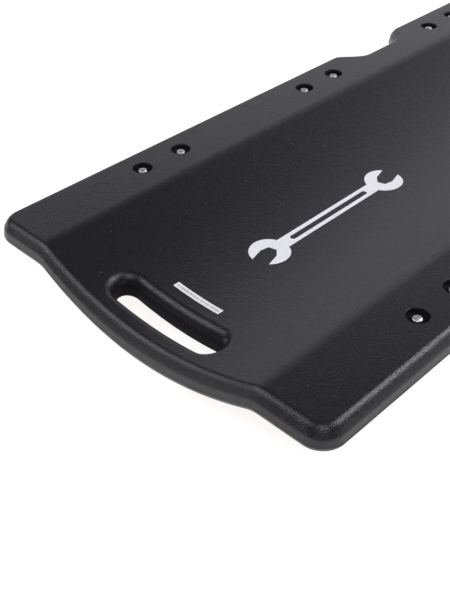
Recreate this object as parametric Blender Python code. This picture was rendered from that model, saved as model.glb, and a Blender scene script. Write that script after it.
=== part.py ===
"""Mechanics creeper: a hollow blow-moulded deck with a dished middle, a padded headrest and six
swivel casters.

Metres, +Z up, +X to the right of someone who stands at the foot end, +Y towards the headrest.
The origin is on the floor under the middle of the deck.
"""

import math

import bmesh
import bpy
from mathutils import Matrix, Vector

# Deck: overall size, the flat flanges along both sides and the dish between them
DECK_LENGTH = 1.016
DECK_WIDTH = 0.480
FLANGE_TOP = 0.080
FLANGE_THICK = 0.027
FLANGE_END = 0.502
DISH_HALF = 0.154
DISH_DEPTH = 0.029
UNDER_SWELL = 1.085
PARTING_DROP = 0.020
EDGE_RADIUS = 0.0120
EDGE_DRAFT = 0.0010
FOOT_CORNER = 0.027
HEAD_CORNER = 0.045
WAIST_DEPTH = 0.028
WAIST_START = 0.085
WAIST_RUN = 0.045
WAIST_END = 0.235
WALL = 0.0035

# Flat platform under the headrest, at the head end of the dish
PLATFORM_DROP = 0.010
PLATFORM_HALF = 0.142
RAMP_START = 0.285
RAMP_END = 0.365

# Handle slot at the foot end, and the tool trays beside the headrest
SLOT_Y = -0.4602
SLOT_LENGTH = 0.152
SLOT_WIDTH = 0.0308
SLOT_ROUND = 0.0110
TRAY_X = 0.194
TRAY_Y = 0.417
TRAY_SIZE = (0.056, 0.104)
TRAY_DEPTH = 0.015

# Stiffening grooves and blow-pin vents in the underside
GROOVE_XS = (-0.078, 0.0, 0.078)
GROOVE_WIDTH = 0.016
GROOVE_ENDS = (-0.385, 0.245)
GROOVE_DEPTH = 0.013
VENTS = ((-0.038, -0.250), (0.038, 0.130))
VENT_RADIUS = 0.004

# Casters: one beside each end of both flanges and one at mid length
CASTER_X = 0.198
CASTER_ROWS = {"foot": -0.2850, "mid": 0.0100, "head": 0.3045}
TRAIL_ANGLES = {
    "foot_right": -90,
    "foot_left": -97,
    "mid_right": -84,
    "mid_left": -101,
    "head_right": -78,
    "head_left": -93,
}
POCKET_SIZE = (0.056, 0.092)
POCKET_ROOF = 0.067
PLATE_SIZE = (0.044, 0.080)
PLATE_THICK = 0.0025
RACE_RADIUS = 0.019
CROWN_RADIUS = 0.020
CROWN_TOP = 0.058
SHEET = 0.0025
TRAIL = 0.020
WHEEL_RADIUS = 0.0254
WHEEL_HALF = 0.010
HUB_HALF = 0.011
AXLE_RADIUS = 0.003
PIN_RADIUS = 0.0055

# Deck screws: two to a caster, in round wells
SCREW_PITCH = 0.0623
WELL_RADIUS = 0.012
WELL_FLOOR = 0.074
SCREW_HEAD_RADIUS = 0.00525
SCREW_HEAD_HEIGHT = 0.0037
SCREW_SHANK = 0.0025
SCREW_TIP = 0.0585

# Headrest
CUSHION_SIZE = (0.300, 0.130, 0.029)
BOARD_SIZE = (0.270, 0.114, 0.008)
HEADREST_Y = 0.427
HEADREST_SCREWS = ((-0.090, 0.394), (0.090, 0.394), (-0.090, 0.460), (0.090, 0.460))
HEADREST_WELL_TOP = 0.064

# Label under the handle slot
LABEL_SPOT = (0.0024, -0.4194)
LABEL_SIZE = (0.0677, 0.0080, 0.0003)
LABEL_TILT = -1.4

GAP = 0.0003
RUNNING_GAP = 0.0004
BEYOND = 0.02


def clear_scene():
    for obj in list(bpy.data.objects):
        bpy.data.objects.remove(obj, do_unlink=True)


def principled(name, color, roughness, metallic=0.0):
    material = bpy.data.materials.new(name)
    material.use_nodes = True
    shader = material.node_tree.nodes["Principled BSDF"]
    shader.inputs["Base Color"].default_value = (*color, 1.0)
    shader.inputs["Roughness"].default_value = roughness
    shader.inputs["Metallic"].default_value = metallic
    return material


def mesh_of(bm, name, material):
    """Finishes a bmesh as a mesh with outward faces."""
    bmesh.ops.recalc_face_normals(bm, faces=bm.faces)
    mesh = bpy.data.meshes.new(name)
    bm.to_mesh(mesh)
    bm.free()
    if material:
        mesh.materials.append(material)
    return mesh


def place(name, mesh, location=(0, 0, 0), parent=None, turn=0.0):
    obj = bpy.data.objects.new(name, mesh)
    obj.location = location
    obj.rotation_euler.z = turn
    obj.parent = parent
    bpy.context.scene.collection.objects.link(obj)
    return obj


def cutter(name, bm, location=(0, 0, 0)):
    obj = place(name, mesh_of(bm, name, None), location)
    obj.hide_render = True
    obj.display_type = "WIRE"
    return obj


def boolean(obj, other, operation="DIFFERENCE"):
    modifier = obj.modifiers.new(other.name, "BOOLEAN")
    modifier.operation = operation
    modifier.solver = "EXACT"
    modifier.object = other


def smooth(mesh, degrees=35):
    mesh.shade_smooth()
    mesh.set_sharp_from_angle(angle=math.radians(degrees))


def arc(center, radius, start, end, steps):
    """Points on an arc, in degrees, both ends included."""
    turns = [math.radians(start + (end - start) * i / steps) for i in range(steps + 1)]
    return [(center[0] + radius * math.cos(t), center[1] + radius * math.sin(t)) for t in turns]


def add_outline(bm, outline, z):
    return bm.faces.new([bm.verts.new((x, y, z)) for x, y in outline])


def add_box(bm, size, center, corner=0.0, steps=3):
    """A box whose four upright edges are rounded when corner is given."""
    made = bmesh.ops.create_cube(bm, size=1.0)["verts"]
    bmesh.ops.scale(bm, vec=size, verts=made)
    bmesh.ops.translate(bm, vec=center, verts=made)
    if corner:
        edges = {edge for vert in made for edge in vert.link_edges}
        upright = [e for e in edges if abs(e.verts[0].co.z - e.verts[1].co.z) > 1e-6]
        bmesh.ops.bevel(
            bm, geom=upright, offset=corner, segments=steps, profile=0.5,
            affect="EDGES", material=-1,
        )


def add_cylinder(bm, radius, z_low, z_high, center, steps):
    middle = Vector((center[0], center[1], (z_low + z_high) / 2))
    bmesh.ops.create_cone(
        bm, cap_ends=True, cap_tris=False, segments=steps, radius1=radius, radius2=radius,
        depth=z_high - z_low, matrix=Matrix.Translation(middle),
    )


def turned(profile, steps, closed):
    """A solid turned about Z from points (radius, z); closed joins the last point to the first."""
    bm = bmesh.new()
    verts = [bm.verts.new((radius, 0, z)) for radius, z in profile]
    pairs = list(zip(verts, verts[1:]))
    if closed:
        pairs.append((verts[-1], verts[0]))
    edges = [bm.edges.new(pair) for pair in pairs]
    bmesh.ops.spin(
        bm, geom=verts + edges, cent=(0, 0, 0), axis=(0, 0, 1), angle=math.tau,
        steps=steps, use_merge=True,
    )
    bmesh.ops.remove_doubles(bm, verts=bm.verts, dist=1e-6)
    return bm


def ease(t):
    t = min(max(t, 0.0), 1.0)
    return t * t * (3 - 2 * t)


def dish(x, y):
    """Height of the deck's top below the flanges, as a negative number."""
    across = min(abs(x) / DISH_HALF, 1.0)
    hollow = -DISH_DEPTH * (1 - across * across)
    rim = (DISH_HALF - abs(x)) / (DISH_HALF - PLATFORM_HALF)
    platform = -PLATFORM_DROP * min(max(rim, 0.0), 1.0)
    ramp = ease((y - RAMP_START) / (RAMP_END - RAMP_START))
    return hollow * (1 - ramp) + platform * ramp


def drape(bm):
    """Follows the dish: the underside swells a little more than the top."""
    for vert in bm.verts:
        depth = (FLANGE_TOP - vert.co.z) / FLANGE_THICK
        swell = 1 + (UNDER_SWELL - 1) * depth
        vert.co.z += dish(vert.co.x, vert.co.y) * swell


def score(bm):
    """Cuts every face along the lines between which the dish is close to flat."""
    across = [0.0, 0.030, 0.060, 0.090, 0.118, PLATFORM_HALF, DISH_HALF]
    ramps = [RAMP_START + (RAMP_END - RAMP_START) * i / 4 for i in range(5)]
    planes = [((x, 0, 0), (1, 0, 0)) for x in sorted({s * x for x in across for s in (-1, 1)})]
    planes += [((0, y, 0), (0, 1, 0)) for y in ramps]
    for point, normal in planes:
        geom = bm.verts[:] + bm.edges[:] + bm.faces[:]
        bmesh.ops.bisect_plane(bm, geom=geom, dist=1e-6, plane_co=point, plane_no=normal)


def side_outline(inset):
    """The right half of the deck's widest outline, from the foot end's middle to the head's."""
    half = DECK_WIDTH / 2 - inset
    end = FLANGE_END - inset
    bulge = DECK_LENGTH / 2 - FLANGE_END
    foot = FOOT_CORNER - inset
    head = HEAD_CORNER - inset
    points = [
        (x, -end - bulge * (1 - (x / DISH_HALF) ** 2))
        for x in (0.0, 0.030, 0.060, 0.090, 0.118, DISH_HALF)
    ]
    points += arc((half - foot, foot - end), foot, -90, 0, 6)
    for start, sign in ((WAIST_START, 1), (WAIST_END - WAIST_RUN, -1)):
        for i in range(6):
            share = ease(i / 5) if sign > 0 else 1 - ease(i / 5)
            points.append((half - WAIST_DEPTH * share, start + WAIST_RUN * i / 5))
    points += arc((half - head, end - head), head, 0, 90, 6)
    points += [
        (x, end + bulge * (1 - (x / DISH_HALF) ** 2)) for x in (DISH_HALF, 0.090, 0.045, 0.0)
    ]
    return points


def deck_outline(inset):
    right = side_outline(inset)
    return right + [(-x, y) for x, y in reversed(right[1:-1])]


def grow(bm, face, moves):
    """Insets a flat face inwards and along its normal, once for each (inwards, along)."""
    for inwards, along in moves:
        bmesh.ops.inset_region(
            bm, faces=[face], use_boundary=True, use_even_offset=True,
            thickness=inwards, depth=along,
        )


def edge_moves(radius, steps):
    """Moves that round an edge over from upright to flat."""
    moves = []
    for i in range(steps):
        a, b = (math.pi / 2 * k / steps for k in (i, i + 1))
        moves.append((radius * (math.cos(a) - math.cos(b)), radius * (math.sin(b) - math.sin(a))))
    return moves


def slab(inset, drop, rise, corner):
    """A closed slab inside the deck's outline: inset from it, between two heights."""
    bm = bmesh.new()
    face = add_outline(bm, deck_outline(inset), FLANGE_TOP - PARTING_DROP)
    wall = rise - corner
    up = bmesh.ops.extrude_face_region(bm, geom=[face], use_keep_orig=True)["geom"]
    top = next(item for item in up if isinstance(item, bmesh.types.BMFace))
    bmesh.ops.translate(bm, vec=(0, 0, wall * 0.5), verts=top.verts)
    bmesh.ops.recalc_face_normals(bm, faces=bm.faces)
    grow(bm, top, [(EDGE_DRAFT, wall * 0.5)] + edge_moves(corner, 4))
    grow(bm, face, [(0.0014, drop * 0.5), (0.0028, drop * 0.36), (0.0042, drop * 0.14)])
    return bm


def stadium(length, width, steps):
    radius = width / 2
    reach = length / 2 - radius
    return arc((reach, 0), radius, -90, 90, steps) + arc((-reach, 0), radius, 90, 270, steps)


def slot_cutter():
    """A stadium that flares out where it meets the top of the deck."""
    flare = SLOT_ROUND * 0.9
    bm = bmesh.new()
    outline = stadium(SLOT_LENGTH + 2 * flare, SLOT_WIDTH + 2 * flare, 8)
    face = add_outline(bm, [(x, y + SLOT_Y) for x, y in outline], FLANGE_TOP + 0.0006)
    up = bmesh.ops.extrude_face_region(bm, geom=[face], use_keep_orig=True)["geom"]
    top = next(item for item in up if isinstance(item, bmesh.types.BMFace))
    bmesh.ops.translate(bm, vec=(0, 0, BEYOND), verts=top.verts)
    bmesh.ops.recalc_face_normals(bm, faces=bm.faces)
    grow(bm, face, [(flare * 0.5, 0.0025), (flare * 0.35, 0.0040), (flare * 0.15, 0.0050), (0, BEYOND * 1.3)])
    score(bm)
    drape(bm)
    bmesh.ops.triangulate(bm, faces=bm.faces)
    return cutter("handle_slot_cutter", bm)


def caster_places():
    """(name, x, y) of each caster's swivel axis."""
    return [
        (f"{row}_{side}", sign * CASTER_X, y)
        for row, y in CASTER_ROWS.items()
        for side, sign in (("right", 1), ("left", -1))
    ]


def screw_places():
    """(name, x, y) of each deck screw."""
    return [
        (f"{name}_{end}", x, y + sign * SCREW_PITCH / 2)
        for name, x, y in caster_places()
        for end, sign in (("rear", -1), ("front", 1))
    ]


def well_cutter():
    bm = bmesh.new()
    for _, x, y in screw_places():
        add_cylinder(bm, WELL_RADIUS, WELL_FLOOR, FLANGE_TOP + BEYOND, (x, y), 20)
    return cutter("screw_well_cutter", bm)


def shank_cutter():
    bm = bmesh.new()
    for _, x, y in screw_places():
        add_cylinder(bm, SCREW_SHANK + RUNNING_GAP, POCKET_ROOF - 0.002, WELL_FLOOR + 0.002, (x, y), 10)
    return cutter("screw_shank_cutter", bm)


def pocket_cutter():
    bm = bmesh.new()
    height = POCKET_ROOF - FLANGE_TOP + FLANGE_THICK + BEYOND
    for _, x, y in caster_places():
        add_box(bm, (*POCKET_SIZE, height), (x, y, POCKET_ROOF - height / 2), corner=0.012)
    return cutter("caster_pocket_cutter", bm)


def tray_cutter():
    bm = bmesh.new()
    height = TRAY_DEPTH + BEYOND
    for sign in (-1, 1):
        center = (sign * TRAY_X, TRAY_Y, FLANGE_TOP - TRAY_DEPTH + height / 2)
        add_box(bm, (*TRAY_SIZE, height), center, corner=0.012)
    return cutter("tool_tray_cutter", bm)


def underside(x, y):
    return FLANGE_TOP - FLANGE_THICK + dish(x, y) * UNDER_SWELL


def add_grooves(bm, margin):
    low, high = GROOVE_ENDS
    for x in GROOVE_XS:
        roof = underside(x, 0) + GROOVE_DEPTH + margin
        size = (GROOVE_WIDTH + 2 * margin, high - low + 2 * margin, roof + BEYOND)
        add_box(bm, size, (x, (low + high) / 2, roof - size[2] / 2), corner=GROOVE_WIDTH / 2.2)


def groove_cutter():
    bm = bmesh.new()
    add_grooves(bm, 0.0)
    return cutter("groove_cutter", bm)


def headrest_well_cutter():
    """Wells in the underside for the headrest's screws, and the shank holes above them."""
    bm = bmesh.new()
    for x, y in HEADREST_SCREWS:
        add_cylinder(bm, 0.008, 0.02, HEADREST_WELL_TOP, (x, y), 14)
    return cutter("headrest_well_cutter", bm)


def headrest_shank_cutter():
    bm = bmesh.new()
    for x, y in HEADREST_SCREWS:
        add_cylinder(bm, 0.0021 + RUNNING_GAP, HEADREST_WELL_TOP - 0.002, FLANGE_TOP, (x, y), 8)
    return cutter("headrest_shank_cutter", bm)


def kept_solid():
    """Where the two skins are pressed together: round the slot, casters, trays, grooves and wells."""
    bm = bmesh.new()
    tall = 0.12
    for _, x, y in caster_places():
        add_box(bm, (0.090, POCKET_SIZE[1] + 0.020, tall), (x + math.copysign(0.010, x), y, tall / 2))
    for sign in (-1, 1):
        add_box(bm, (0.092, 0.140, tall), (sign * 0.204, TRAY_Y + 0.016, tall / 2))
    add_box(bm, (0.230, 0.085, tall), (0, SLOT_Y - 0.012, tall / 2))
    return cutter("pressed_skins", bm)


def kept_narrow():
    bm = bmesh.new()
    add_grooves(bm, WALL)
    for x, y in HEADREST_SCREWS:
        add_cylinder(bm, 0.011, 0.0, 0.12, (x, y), 12)
    return cutter("pressed_grooves", bm)


def hollow_cutter():
    """The blown hollow between the two skins."""
    drop = FLANGE_THICK - PARTING_DROP - WALL
    bm = slab(WALL, drop, PARTING_DROP - WALL, EDGE_RADIUS - WALL)
    score(bm)
    drape(bm)
    bmesh.ops.triangulate(bm, faces=bm.faces)
    hollow = cutter("hollow_cutter", bm)
    boolean(hollow, kept_solid())
    boolean(hollow, kept_narrow())
    return hollow


def vent_cutter():
    bm = bmesh.new()
    for x, y in VENTS:
        low = underside(x, y)
        add_cylinder(bm, VENT_RADIUS, low - 0.01, low + 0.012, (x, y), 10)
    return cutter("vent_cutter", bm)


def make_deck(plastic):
    bm = slab(0.0, FLANGE_THICK - PARTING_DROP, PARTING_DROP, EDGE_RADIUS)
    score(bm)
    drape(bm)
    bmesh.ops.triangulate(bm, faces=bm.faces)
    mesh = mesh_of(bm, "deck_shell", plastic)
    smooth(mesh)
    deck = place("deck_shell", mesh)
    makers = (
        hollow_cutter, vent_cutter, slot_cutter, pocket_cutter, well_cutter, shank_cutter,
        tray_cutter, groove_cutter, headrest_well_cutter, headrest_shank_cutter,
    )
    for make in makers:
        boolean(deck, make())
    return deck


def make_label(deck, paper):
    """A thin label stuck a little askew to the bottom of the dish."""
    bm = bmesh.new()
    add_box(bm, LABEL_SIZE, (0, 0, FLANGE_TOP + GAP + LABEL_SIZE[2] / 2))
    tilt = Matrix.Rotation(math.radians(LABEL_TILT), 3, "Z")
    bmesh.ops.rotate(bm, verts=bm.verts, cent=(0, 0, 0), matrix=tilt)
    bmesh.ops.translate(bm, verts=bm.verts, vec=(*LABEL_SPOT, 0))
    score(bm)
    drape(bm)
    place("label_sticker", mesh_of(bm, "label_sticker", paper), parent=deck)


def make_headrest(deck, vinyl, board_material, steel):
    platform = FLANGE_TOP - PLATFORM_DROP
    board_low = platform + GAP
    bm = bmesh.new()
    add_box(bm, BOARD_SIZE, (0, HEADREST_Y, board_low + BOARD_SIZE[2] / 2), corner=0.015)
    board = place("headrest_board", mesh_of(bm, "headrest_board", board_material), parent=deck)
    holes = bmesh.new()
    for x, y in HEADREST_SCREWS:
        add_cylinder(holes, 0.0021 + RUNNING_GAP, board_low - 0.004, board_low + 0.006, (x, y), 8)
    boolean(board, cutter("board_hole_cutter", holes))

    cushion_low = board_low + BOARD_SIZE[2] + GAP
    bm = bmesh.new()
    center = (0, HEADREST_Y, cushion_low + CUSHION_SIZE[2] / 2)
    add_box(bm, CUSHION_SIZE, center, corner=0.022)
    top = [e for e in bm.edges if min(v.co.z for v in e.verts) > center[2]]
    bmesh.ops.bevel(bm, geom=top, offset=0.011, segments=3, profile=0.5, affect="EDGES", material=-1)
    mesh = mesh_of(bm, "headrest_cushion", vinyl)
    smooth(mesh, 50)
    place("headrest_cushion", mesh, parent=deck)

    head_top = HEADREST_WELL_TOP - GAP
    profile = [
        (0, head_top - 0.0026), (0.0040, head_top - 0.0022), (0.0055, head_top),
        (0.0021, head_top), (0.0021, board_low + 0.0055), (0, board_low + 0.0055),
    ]
    screw = mesh_of(turned(profile, 10, closed=False), "headrest_screw", steel)
    smooth(screw)
    for number, (x, y) in enumerate(HEADREST_SCREWS, 1):
        place(f"headrest_screw_{number}", screw, (x, y, 0), deck)


def make_deck_screws(deck, zinc):
    low = WELL_FLOOR + GAP
    high = low + SCREW_HEAD_HEIGHT
    profile = [
        (0, SCREW_TIP), (SCREW_SHANK, SCREW_TIP), (SCREW_SHANK, low), (SCREW_HEAD_RADIUS, low),
        (SCREW_HEAD_RADIUS, low + 0.0016), (SCREW_HEAD_RADIUS * 0.6, high), (0, high),
    ]
    mesh = mesh_of(turned(profile, 10, closed=False), "deck_screw", zinc)
    smooth(mesh)
    for name, x, y in screw_places():
        place(f"deck_screw_{name}", mesh, (x, y, 0), deck)


def plate_mesh(zinc):
    """The caster's top plate, with two screw holes and the king pin's hole."""
    top = POCKET_ROOF - GAP
    bm = bmesh.new()
    add_box(bm, (*PLATE_SIZE, PLATE_THICK), (0, 0, top - PLATE_THICK / 2), corner=0.006, steps=2)
    holes = bmesh.new()
    for y, radius in (
        (-SCREW_PITCH / 2, SCREW_SHANK + RUNNING_GAP),
        (SCREW_PITCH / 2, SCREW_SHANK + RUNNING_GAP),
        (0, PIN_RADIUS + GAP),
    ):
        add_cylinder(holes, radius, top - 0.01, top + 0.01, (0, y), 12)
    return applied(mesh_of(bm, "caster_plate", zinc), mesh_of(holes, "plate_holes", None), [])


def applied(mesh, minus, plus):
    """The mesh with others joined to it and one cut from it, as a mesh that copies can share."""
    body = place("blank", mesh)
    helpers = [place("helper", other) for other in plus]
    for helper in helpers:
        boolean(body, helper, "UNION")
    helpers.append(place("helper", minus))
    boolean(body, helpers[-1])
    bpy.context.view_layer.update()
    graph = bpy.context.evaluated_depsgraph_get()
    made = bpy.data.meshes.new_from_object(body.evaluated_get(graph), depsgraph=graph)
    made.name = mesh.name
    for obj in [body, *helpers]:
        bpy.data.objects.remove(obj, do_unlink=True)
    return made


def race_mesh(steel):
    low = CROWN_TOP + GAP
    high = POCKET_ROOF - 2 * GAP - PLATE_THICK
    profile = [(0.0080, low), (RACE_RADIUS, low), (RACE_RADIUS - 0.0020, high), (0.0080, high)]
    mesh = mesh_of(turned(profile, 16, closed=True), "ball_race", steel)
    smooth(mesh)
    return mesh


def pin_mesh(steel):
    """The king pin: a rivet with its head under the fork's crown."""
    head_top = CROWN_TOP - SHEET - GAP
    profile = [
        (0, head_top - 0.0025), (0.0070, head_top - 0.0025), (0.0090, head_top),
        (PIN_RADIUS, head_top), (PIN_RADIUS, POCKET_ROOF - GAP),
        (0, POCKET_ROOF - GAP),
    ]
    mesh = mesh_of(turned(profile, 12, closed=False), "king_pin", steel)
    smooth(mesh)
    return mesh


def leg_mesh(side):
    """One leg of the fork, flat pressed sheet from the crown down round the axle."""
    inner = HUB_HALF + RUNNING_GAP
    outer = inner + SHEET
    top = CROWN_TOP - SHEET / 2
    boss = arc((TRAIL, WHEEL_RADIUS), 0.0080, 200, 375, 7)
    outline = [(-0.0100, top)] + boss + [(0.0170, top)]
    bm = bmesh.new()
    face = bm.faces.new([bm.verts.new((x, side * inner, z)) for x, z in outline])
    more = bmesh.ops.extrude_face_region(bm, geom=[face], use_keep_orig=True)["geom"]
    moved = [item for item in more if isinstance(item, bmesh.types.BMVert)]
    bmesh.ops.translate(bm, vec=(0, side * (outer - inner), 0), verts=moved)
    return mesh_of(bm, "fork_leg", None)


def fork_mesh(zinc):
    """The swivelling fork: a round crown and two legs, bored for the axle."""
    low = CROWN_TOP - SHEET
    profile = [
        (PIN_RADIUS + GAP, low), (CROWN_RADIUS, low), (CROWN_RADIUS, CROWN_TOP),
        (PIN_RADIUS + GAP, CROWN_TOP),
    ]
    crown = mesh_of(turned(profile, 20, closed=True), "fork", zinc)
    bore = bmesh.new()
    matrix = Matrix.Translation((TRAIL, 0, WHEEL_RADIUS)) @ Matrix.Rotation(math.pi / 2, 4, "X")
    bmesh.ops.create_cone(
        bore, cap_ends=True, cap_tris=False, segments=12, radius1=AXLE_RADIUS + GAP,
        radius2=AXLE_RADIUS + GAP, depth=0.05, matrix=matrix,
    )
    made = applied(crown, mesh_of(bore, "axle_bore", None), [leg_mesh(-1), leg_mesh(1)])
    smooth(made)
    return made


def lay_along_y(bm):
    """Turns a piece that was made about Z so that it lies about Y."""
    bmesh.ops.rotate(bm, cent=(0, 0, 0), matrix=Matrix.Rotation(math.pi / 2, 3, "X"), verts=bm.verts)
    return bm


def wheel_mesh(rubber):
    bore = AXLE_RADIUS + GAP
    half = [
        (bore, HUB_HALF), (0.0075, HUB_HALF), (0.0165, 0.0070), (0.0180, WHEEL_HALF),
        (0.0236, WHEEL_HALF), (WHEEL_RADIUS, WHEEL_HALF - 0.0025),
    ]
    profile = half + [(radius, -y) for radius, y in reversed(half)]
    mesh = mesh_of(lay_along_y(turned(profile, 20, closed=True)), "wheel", rubber)
    smooth(mesh)
    return mesh


def axle_mesh(steel):
    """The axle rivet, with a head outside each leg of the fork."""
    outer = HUB_HALF + RUNNING_GAP + SHEET + GAP
    half = [(0, outer + 0.0018), (0.0038, outer + 0.0014), (0.0050, outer), (AXLE_RADIUS, outer)]
    profile = half + [(radius, -y) for radius, y in reversed(half)]
    mesh = mesh_of(lay_along_y(turned(profile, 12, closed=False)), "axle", steel)
    smooth(mesh)
    return mesh


def swivel_frame(name, x, y, deck):
    """An empty on the swivel axis, turned so that its +X points the way the wheel trails."""
    frame = place(f"{name}_swivel", None, (x, y, 0), deck, math.radians(TRAIL_ANGLES[name]))
    frame.empty_display_size = 0.03
    return frame


def make_casters(deck, zinc, steel, rubber):
    plate = plate_mesh(zinc)
    race = race_mesh(steel)
    pin = pin_mesh(steel)
    fork = fork_mesh(zinc)
    wheel = wheel_mesh(rubber)
    axle = axle_mesh(steel)
    for name, x, y in caster_places():
        place(f"{name}_plate", plate, (x, y, 0), deck)
        place(f"{name}_ball_race", race, (x, y, 0), deck)
        place(f"{name}_king_pin", pin, (x, y, 0), deck)
        swivel = swivel_frame(name, x, y, deck)
        place(f"{name}_fork", fork, (0, 0, 0), swivel)
        place(f"{name}_axle", axle, (TRAIL, 0, WHEEL_RADIUS), swivel)
        place(f"{name}_wheel", wheel, (TRAIL, 0, WHEEL_RADIUS), swivel)


def main():
    clear_scene()
    plastic = principled("deck_plastic", (0.030, 0.030, 0.033), 0.42)
    vinyl = principled("cushion_vinyl", (0.018, 0.018, 0.019), 0.48)
    board = principled("board_plastic", (0.040, 0.040, 0.042), 0.60)
    paper = principled("label_paper", (0.80, 0.80, 0.80), 0.45)
    zinc = principled("zinc_plate", (0.62, 0.63, 0.65), 0.32, 1.0)
    steel = principled("bearing_steel", (0.50, 0.50, 0.51), 0.30, 1.0)
    rubber = principled("wheel_plastic", (0.022, 0.022, 0.023), 0.50)
    deck = make_deck(plastic)
    make_label(deck, paper)
    make_headrest(deck, vinyl, board, zinc)
    make_deck_screws(deck, zinc)
    make_casters(deck, zinc, steel, rubber)


main()
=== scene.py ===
"""The finished look of a mechanics creeper, built round its parts. Metres, +Z up, +Y to the headrest."""

import math

import bmesh
import bpy
from mathutils import Matrix, Vector, noise


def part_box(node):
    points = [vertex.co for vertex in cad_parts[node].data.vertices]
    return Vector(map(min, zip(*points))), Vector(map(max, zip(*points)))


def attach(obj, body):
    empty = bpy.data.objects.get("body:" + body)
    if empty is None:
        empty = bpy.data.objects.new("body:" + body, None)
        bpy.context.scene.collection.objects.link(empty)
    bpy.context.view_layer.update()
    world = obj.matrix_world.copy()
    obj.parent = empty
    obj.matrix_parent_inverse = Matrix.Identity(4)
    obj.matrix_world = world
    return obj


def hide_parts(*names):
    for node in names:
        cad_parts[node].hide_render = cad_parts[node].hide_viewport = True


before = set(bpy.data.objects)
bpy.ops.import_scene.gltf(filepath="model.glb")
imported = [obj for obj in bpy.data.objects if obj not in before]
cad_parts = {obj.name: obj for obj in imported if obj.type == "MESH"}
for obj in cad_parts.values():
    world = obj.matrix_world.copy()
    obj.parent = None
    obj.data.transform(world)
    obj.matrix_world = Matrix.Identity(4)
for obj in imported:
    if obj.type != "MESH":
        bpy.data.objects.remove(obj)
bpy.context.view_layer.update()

# ---------------------------------------------------------------------------------------------
# Camera: stands off the foot end's right corner and looks down past the handle slot.
# ---------------------------------------------------------------------------------------------
deck_low, deck_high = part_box("deck_shell")
FLANGE_TOP = deck_high.z
CAMERA_OFFSET = Vector((0.5391, -0.4089, 0.5588))
CAMERA_TURN = 45.0
CAMERA_RISE = 38.88
CAMERA_ROLL = -0.67
LENS = 54.74

turn, rise, roll = (math.radians(a) for a in (CAMERA_TURN, CAMERA_RISE, CAMERA_ROLL))
camera_data = bpy.data.cameras.new("camera")
camera_data.lens = LENS
camera_data.sensor_width = 36.0
camera_data.clip_start = 0.01
camera = bpy.data.objects.new("camera", camera_data)
bpy.context.scene.collection.objects.link(camera)
camera.matrix_world = (
    Matrix.Translation(Vector((0, deck_low.y, FLANGE_TOP)) + CAMERA_OFFSET)
    @ Matrix.Rotation(turn, 4, "Z")
    @ Matrix.Rotation(math.pi / 2 - rise, 4, "X")
    @ Matrix.Rotation(roll, 4, "Z")
)
bpy.context.scene.camera = camera
bpy.context.scene.view_settings.view_transform = "Standard"

# ---------------------------------------------------------------------------------------------
# Studio: a pale light table that runs out of sight, softboxes to the camera's left, behind on its
# right and over its right shoulder, a long pale wall behind the far left side, and dim
# surroundings, so that the black plastic shows its shape by gloss.
# ---------------------------------------------------------------------------------------------
FLOOR_HALF = 6.0
SOFT_LIGHTS = (
    # name, place, size across, size up, watts
    ("left_softbox", (-1.35, -1.75, 1.60), 1.2, 1.2, 23.0),
    ("right_softbox", (1.30, 1.25, 1.75), 1.3, 1.3, 50.0),
    ("back_wall", (-2.20, 2.00, 1.10), 4.5, 1.6, 22.5),
    ("fill_softbox", (1.40, -1.60, 2.10), 1.2, 1.2, 25.0),
)
SOFT_AIM = Vector((0.0, -0.30, 0.06))
SOFT_TINT = (0.955, 0.935, 1.0)
SURROUNDINGS = 0.055
TABLE_GLOW = 0.90
TABLE_FADE = (1.0, 3.2)


class Wire:
    """A shader socket that arithmetic works on: each operator adds its Math node."""

    def __init__(self, tree, socket):
        self.tree = tree
        self.socket = socket

    def math(self, operation, first, second=0.0):
        return Sheet(self.tree).node("ShaderNodeMath", {"operation": operation}, {0: first, 1: second})

    def __add__(self, other):
        return self.math("ADD", self, other)

    def __radd__(self, other):
        return self.math("ADD", other, self)

    def __sub__(self, other):
        return self.math("SUBTRACT", self, other)

    def __rsub__(self, other):
        return self.math("SUBTRACT", other, self)

    def __mul__(self, other):
        return self.math("MULTIPLY", self, other)

    def __rmul__(self, other):
        return self.math("MULTIPLY", other, self)

    def __abs__(self):
        return self.math("ABSOLUTE", self)

    def between(self, low, high):
        """0 at low, 1 at high and smooth in between; low may be the larger of the two."""
        sockets = {"Value": self, "From Min": low, "From Max": high}
        return Sheet(self.tree).node("ShaderNodeMapRange", {"interpolation_type": "SMOOTHSTEP"}, sockets)


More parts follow.
